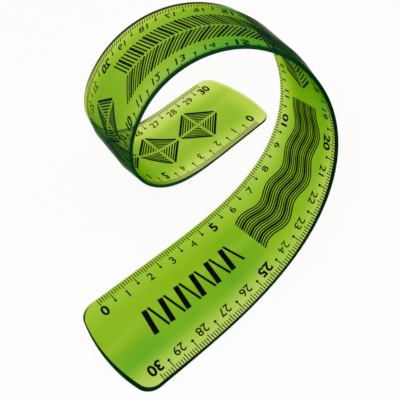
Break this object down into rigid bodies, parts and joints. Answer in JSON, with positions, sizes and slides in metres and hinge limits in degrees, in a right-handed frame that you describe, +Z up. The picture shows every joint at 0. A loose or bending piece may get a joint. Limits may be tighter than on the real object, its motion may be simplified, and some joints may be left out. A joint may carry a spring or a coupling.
{
  "type": "flexible ruler",
  "caption": "Flexible clear green plastic ruler with a centimetre scale along both edges, curled once over itself so that both ends lie flat and the middle stands up as a slanted loop.",
  "frame": {"origin": "under the middle of the curled ruler's box, on the table it lies on", "axes": "+X along the end with the top scale's zero mark, away from that end; +Y across the ruler towards the top scale; +Z up from the table"},
  "size_m": [0.1196, 0.1026, 0.0766],
  "materials": {
    "clear_plastic": "clear tinted flexible plastic, glossy",
    "ink": "black printing ink"
  },
  "bodies": {
    "root": {"blade": "clear_plastic", "top_millimetre_marks": "ink", "top_half_marks": "ink", "top_centimetre_marks": "ink", "top_dots": "ink", "bottom_millimetre_marks": "ink", "bottom_half_marks": "ink", "bottom_centimetre_marks": "ink", "bottom_dots": "ink", "zigzag_print": "ink", "wave_print": "ink", "chevron_print": "ink", "lozenge_print": "ink"}
  },
  "joints": []
}
